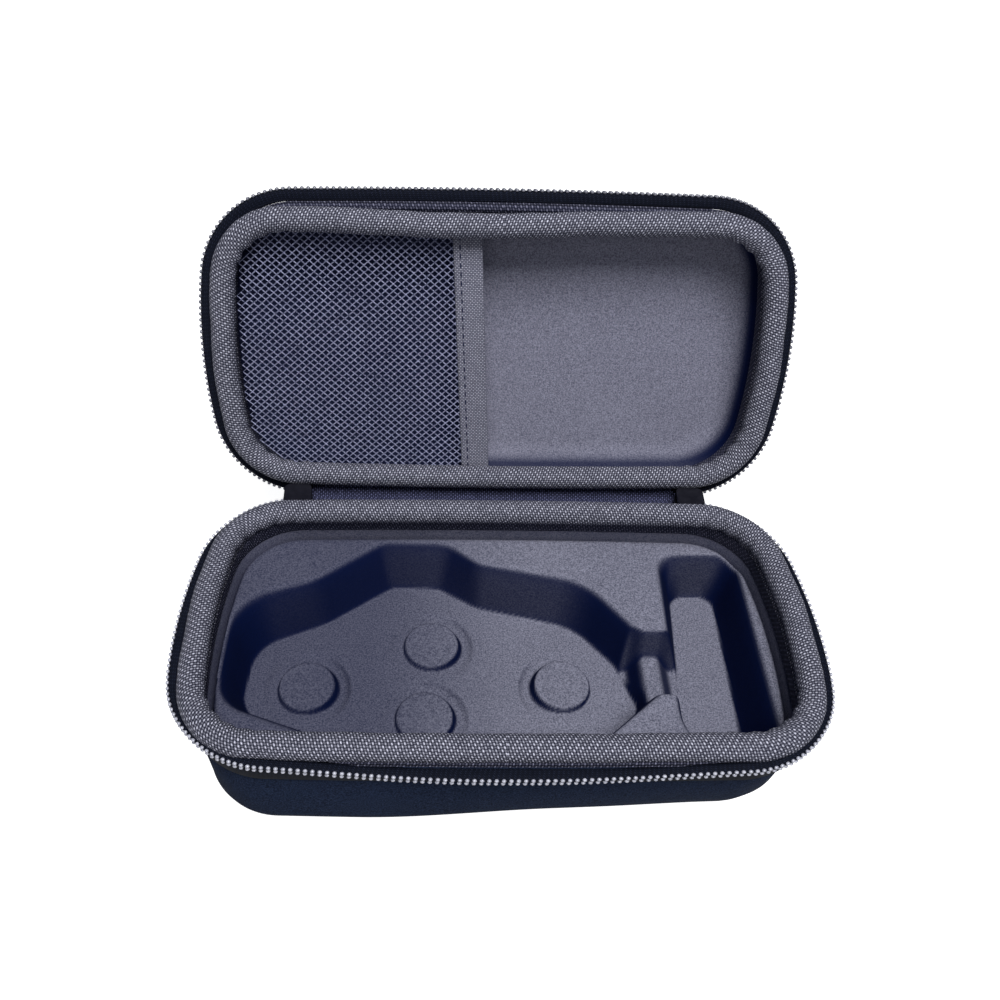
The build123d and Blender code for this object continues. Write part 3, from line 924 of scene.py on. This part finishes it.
def soft_min(first, second, blend):
    """The lower of two heights, rounded off where they are closer than blend."""
    share = numpy.clip(0.5 + 0.5 * (second - first) / blend, 0, 1)
    return second * (1 - share) + first * share - blend * share * (1 - share)


def soft_max(first, second, blend):
    """The higher of two heights, rounded off where they are closer than blend."""
    return -soft_min(-first, -second, blend)


def hollow_height(points, floor_corners, top_corners):
    """Height of the tray for one hollow: floor, leaning wall and top, with soft bends between."""
    from_floor = signed_distance(points, rounded_outline(floor_corners))
    from_top = signed_distance(points, rounded_outline(top_corners))
    share = from_floor / numpy.maximum(from_floor - from_top, 1 * mm)
    wall = hollow_floor + share * (tray_top - hollow_floor)
    lower = soft_max(numpy.full(len(points), hollow_floor), wall, floor_bend)
    return soft_min(lower, numpy.full(len(points), tray_top), top_bend)


def saddle_height(points):
    """Height of the low ridge between the hollows: a crest that falls away to both sides."""
    x, y = points[:, 0], points[:, 1]
    level = numpy.zeros(len(points))
    left_fall = soft_max(saddle_left - x, level, saddle_rounding) * saddle_left_slope
    right_fall = soft_max(x - saddle_right, level, saddle_rounding) * saddle_right_slope
    ridge = soft_max(saddle_crest - left_fall - right_fall, level + hollow_floor, saddle_blend)
    beyond = numpy.maximum(y - saddle_back, saddle_front - y)
    return soft_max(ridge, ridge + beyond * saddle_end_slope, 2 * floor_bend)


def tray_height(points):
    """Height of the tray's surface at plan points."""
    height = hollow_height(points, hollow_corners, hollow_top_corners)
    height = soft_min(height, hollow_height(points, slot_corners, slot_top_corners), slot_blend)
    off_middle = numpy.abs(points[:, 0] - (saddle_left + saddle_right) / 2)
    share = numpy.clip((saddle_reach - off_middle) / saddle_fade, 0, 1)
    cut = height - soft_min(height, saddle_height(points), saddle_blend)
    height = height - share * share * (3 - 2 * share) * cut
    for x, y, groove_side in rests:
        across = points[:, 0] - x * mm
        along = points[:, 1] - y * mm
        gap = numpy.hypot(across, along)
        side = math.radians(groove_side)
        facing = (across * math.cos(side) + along * math.sin(side)) / numpy.maximum(gap, 1 * mm)
        edge = rest_edge * (1 + numpy.clip(facing, 0, 1))
        step = numpy.clip((rest_radius + edge - gap) / edge, 0, 1)
        ring = numpy.clip((gap - rest_radius) / rest_groove, 0, 1)
        dip = numpy.sin(math.pi * ring) * rest_groove_depth * facing * (1 + rest_groove_lean * facing)
        height = height + rest_height * step * step * (3 - 2 * step) - dip
    return height


def make_tray():
    """The tray's moulded face with a skirt down into the gap; its colour is darker towards the left."""
    inset = shell_wall + tray_gap
    top_inset = drafted(inset, tray_top - base_height)
    outline = [share_point(shell_plan, step / round_steps, top_inset, 0) for step in range(round_steps)]
    outline = numpy.array([(point.x, point.y) for point in outline])
    half_x = outline[:, 0].max() + cell
    half_y = outline[:, 1].max() + cell
    mesh = bmesh.new()
    columns = round(2 * half_x / cell)
    rows = round(2 * half_y / cell)
    spread = Matrix.Diagonal((half_x, half_y, 1, 1))
    bmesh.ops.create_grid(mesh, x_segments=columns, y_segments=rows, size=1, matrix=spread)
    plan = numpy.array([(vert.co.x, vert.co.y) for vert in mesh.verts])
    edge = signed_distance(plan, outline)
    height = tray_height(plan)
    into = numpy.clip((edge + tray_edge_bend) / tray_edge_bend, 0, 1)
    height = height - tray_edge_bend * (1 - numpy.sqrt(1 - into * into * tray_edge_share))
    for vert, z, away in zip(mesh.verts, height, edge):
        vert.co.z = z
        vert.tag = bool(away > 0)
    outside = [face for face in mesh.faces if all(vert.tag for vert in face.verts)]
    bmesh.ops.delete(mesh, geom=outside, context="FACES")
    rim = [edge for edge in mesh.edges if edge.is_boundary]
    for vert in {vert for edge in rim for vert in edge.verts}:
        away = signed_distance(numpy.array([(vert.co.x, vert.co.y)]), outline)[0]
        gaps = numpy.array(vert.co.xy) - outline
        out = Vector((*gaps[numpy.argmin(numpy.hypot(gaps[:, 0], gaps[:, 1]))], 0))
        if away > 0 and out.length > 0:
            vert.co -= out.normalized() * min(away, out.length)
    for vert in extrude_edges(mesh, rim)[0]:
        vert.co.z = tray_top - tray_skirt
    for face in mesh.faces:
        face.smooth = True
    mark_stretch(mesh)
    stretch = mesh.verts.layers.float["stretch"]
    # The tray is darker towards the left: more of the darkening colour there.
    for vert in mesh.verts:
        left_darkening = left_darkening_share * smooth_step(left_darkening_from - vert.co.x, 0, left_darkening_reach)
        vert[stretch] += (1 - vert[stretch]) * left_darkening
    in_place = Matrix.Identity(4)
    tray = add_piece("tray_face", "insert_tray", mesh, in_place, "base", "tray_lining", tray_finish)


tray_dark = (0.07, 0.073, 0.105, 1)
tray_light = (0.24, 0.242, 0.31, 1)
tray_finish = knit_finish("tray_finish", tray_dark, tray_light, *lining, stretched)
make_tray()

# Lid pocket: nylon mesh of small diamonds over the left of the lid, caught under the binding on three
# sides, with a ribbed elastic band sewn over its free edge.

net_drop = 9.3 * mm
net_cell = (2.9 * mm, 2.5 * mm)
net_strand = 0.6 * mm
net_reach = 0.1
net_margin = 2.2 * mm
net_under_band = 3.6 * mm
band_width = 10.2 * mm
band_thickness = 1.4 * mm
stitch_pitch = 3.1 * mm
stitch_x = -2.7 * mm
stitch_radius = (0.25 * mm, 1.0 * mm, 0.15 * mm)
pocket_inset = shell_wall + flap_thickness + 2 * seat_gap
pocket_steps = 120

net_dark = (0.03, 0.035, 0.08, 1)
net_light = (0.4, 0.42, 0.6, 1)
net_finish = knit_finish("net_finish", net_dark, net_light, 1400.0, 0.05 * mm, 0.5)
band_dark = (0.06, 0.062, 0.09, 1)
band_light = (0.46, 0.46, 0.55, 1)
band_finish = weave_finish("band_finish", band_dark, band_light, 0.62 * mm, 0.0, 0.15 * mm, 0.8)
stitch_finish = knit_finish("stitch_finish", net_shadow_and_stitch_dark, net_shadow_and_stitch_light, 3000.0, 0.02 * mm, 0.6)


def inside_pocket(x, y, margin):
    """Whether a plan point lies inside the lid's inner wall by the margin."""
    point = Vector((x, y, 0))
    whole = 2 * half_length(shell_plan)
    for step in range(pocket_steps):
        wall, out = plan_point(shell_plan, whole * (step / pocket_steps - 0.5))
        if (wall - point).dot(out) < pocket_inset + margin:
            return False
    return True


def make_net():
    """Diamond mesh: a grid stood on its corners, cut to the pocket, with a strand along every edge."""
    count = round(2 * net_reach / net_cell[0])
    mesh = bmesh.new()
    turned = (
        Matrix.Translation((-shell_width / 4, 0, 0))
        @ Matrix.Diagonal((net_cell[0] / 2, net_cell[1] / 2, 1, 1))
        @ Matrix.Rotation(math.pi / 4, 4, "Z")
    )
    side = count / math.sqrt(2)
    bmesh.ops.create_grid(mesh, x_segments=count, y_segments=count, size=side, matrix=turned)
    outside = []
    for face in mesh.faces:
        middle = face.calc_center_median()
        if band_side(middle.x, middle.y) > -net_under_band or middle.x < -shell_width / 2:
            outside.append(face)
        elif abs(middle.y) > shell_depth / 2 or not inside_pocket(middle.x, middle.y, net_margin):
            outside.append(face)
    bmesh.ops.delete(mesh, geom=outside, context="FACES")
    bmesh.ops.translate(mesh, verts=mesh.verts, vec=(0, 0, -net_drop))
    net = add_piece("diamond_net", "pocket_net", mesh, place_lid, "lid", "net", net_finish)
    strands = net.modifiers.new("strands", "WIREFRAME")
    strands.thickness = net_strand
    strands.use_even_offset = False


def make_band():
    """Elastic band, ribbed in the weave, with a row of dark stitches near its left edge."""
    mesh = bmesh.new()
    length = shell_depth - 2 * pocket_inset
    spread = Matrix.Diagonal((band_width / 2, length / 2, 1, 1))
    bmesh.ops.create_grid(mesh, x_segments=10, y_segments=60, size=1, matrix=spread)
    uv = mesh.loops.layers.uv.new("UVMap")
    for face in mesh.faces:
        for loop in face.loops:
            loop[uv].uv = (loop.vert.co.y, loop.vert.co.x)
        face.smooth = True
    made = bmesh.ops.extrude_face_region(mesh, geom=mesh.faces[:])["geom"]
    top = [item for item in made if isinstance(item, bmesh.types.BMVert)]
    bmesh.ops.translate(mesh, verts=top, vec=(0, 0, band_thickness))
    cloth_faces = set(mesh.faces)
    for number in range(int(length / stitch_pitch)):
        place = Matrix.Translation((stitch_x, (number + 0.5) * stitch_pitch - length / 2, 0))
        for side in (0, band_thickness):
            shape = Matrix.Translation((0, 0, side)) @ place @ Matrix.Diagonal((*stitch_radius, 1))
            bmesh.ops.create_uvsphere(mesh, u_segments=8, v_segments=4, radius=1, matrix=shape)
    for face in mesh.faces:
        if face not in cloth_faces:
            face.material_index = 1
    bmesh.ops.translate(mesh, verts=mesh.verts, vec=(0, 0, -band_thickness / 2))
    lean = Matrix.Translation((band_middle_x, 0, -net_drop)) @ Matrix.Rotation(-band_lean, 4, "Z")
    finishes = (band_finish, stitch_finish)
    band = add_piece("elastic_band", "pocket_band", mesh, place_lid @ lean, "lid", "elastic", *finishes)


make_net()
make_band()

# Hinge strip: dark woven cloth stitched along both back walls, which sags between them while the lid is
# open. It carries and bends with the lid, and is narrower along the base's wall to clear the pulls.

strip_low, strip_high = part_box("hinge_strip")
strip_thickness = 0.9 * mm
strip_leg_height = 6 * mm
strip_leg_drop = 8.5 * mm
strip_sag = 3.3 * mm
strip_overlap = 2.6 * mm
strip_taper = 3.4 * mm
strip_taper_start = 5.5 * mm
strip_taper_end = 9.5 * mm
strip_columns = 44
strip_leg_rows = 6
strip_sag_rows = 16
strip_wall_y = shell_depth / 2 + seat_gap + strip_thickness / 2
strip_dark = (0.005, 0.006, 0.016, 1)
strip_light = (0.16, 0.17, 0.32, 1)
strip_finish = weave_finish("strip_finish", strip_dark, strip_light, 0.8 * mm, 0.0, 0.2 * mm, 0.8)


def make_hinge_strip():
    """Strip from the base's wall, over the sag, to the lid's wall."""
    base_top = Vector((0, strip_wall_y, base_height - strip_leg_drop))
    base_end = base_top - Vector((0, 0, strip_leg_height))
    lid_top = turn_lid @ Vector((0, strip_wall_y, base_height + strip_leg_drop))
    lid_end = turn_lid @ Vector((0, strip_wall_y, base_height + strip_leg_drop + strip_leg_height))
    middle = (base_top + lid_top) / 2 - Vector((0, 0, 2 * strip_sag))
    line = [base_end.lerp(base_top, step / strip_leg_rows) for step in range(strip_leg_rows)]
    for step in range(strip_sag_rows + 1):
        share = step / strip_sag_rows
        line.append((1 - share) ** 2 * base_top + 2 * share * (1 - share) * middle + share**2 * lid_top)
    line += [lid_top.lerp(lid_end, (step + 1) / strip_leg_rows) for step in range(strip_leg_rows)]
    mesh = bmesh.new()
    uv = mesh.loops.layers.uv.new("UVMap")
    half = (strip_high.x - strip_low.x) / 2 + strip_overlap
    row = []
    for step in range(strip_columns + 1):
        row.append(mesh.verts.new(line[0] + Vector((half * (2 * step / strip_columns - 1), 0, 0))))
    edges = [mesh.edges.new(pair) for pair in zip(row, row[1:])]
    travelled = 0.0
    for before, here in zip(line, line[1:]):
        new, edges = extrude_edges(mesh, edges)
        bmesh.ops.translate(mesh, verts=list(new), vec=here - before)
        for face in {face for vert in new for face in vert.link_faces}:
            for loop in face.loops:
                step_on = (here - before).length if loop.vert in new else 0
                loop[uv].uv = (loop.vert.co.x, travelled + step_on)
        travelled += (here - before).length
    for vert in mesh.verts:
        off_base = smooth_step(vert.co.y - strip_wall_y, strip_taper_start, strip_taper_end)
        vert.co.x *= 1 - (1 - off_base) * strip_taper / half
    for face in mesh.faces:
        face.smooth = True
    in_place = Matrix.Identity(4)
    strip = add_piece("hinge_cloth", "hinge_strip", mesh, in_place, "base", "skin", strip_finish)
    body = strip.modifiers.new("body", "SOLIDIFY")
    body.thickness = strip_thickness
    body.offset = 0
    strip.parent = None
    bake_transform(strip, "base", "lid", start=tuple(base_top), end=tuple(lid_top))


make_hinge_strip()

# Sliders and pulls: black painted zinc, parked at the two ends of the zip behind the case. They keep
# the frame's own solids.

slider_dark = (0.004, 0.004, 0.008, 1)
slider_light = (0.015, 0.015, 0.024, 1)
slider_finish, tree, paint = new_finish("slider_finish", 0.5, 0.5)
paint.inputs["Metallic"].default_value = 0.3
place = add_node(tree, "ShaderNodeTexCoord").outputs["Object"]
wear = add_node(tree, "ShaderNodeTexNoise", {"Vector": place, "Scale": 500.0, "Detail": 4.0})
rubbed = {"Value": wear.outputs["Fac"], "To Min": 0.25, "To Max": 0.5}
gloss = add_node(tree, "ShaderNodeMapRange", rubbed)
tone = mix_colour(tree, wear.outputs["Fac"], slider_dark, slider_light)
tree.links.new(tone, paint.inputs["Base Color"])
tree.links.new(gloss.outputs["Result"], paint.inputs["Roughness"])

for node in ("left_slider", "right_slider", "left_pull", "right_pull"):
    metal = frame["nodes"][node].data
    metal.materials.clear()
    metal.materials.append(slider_finish)
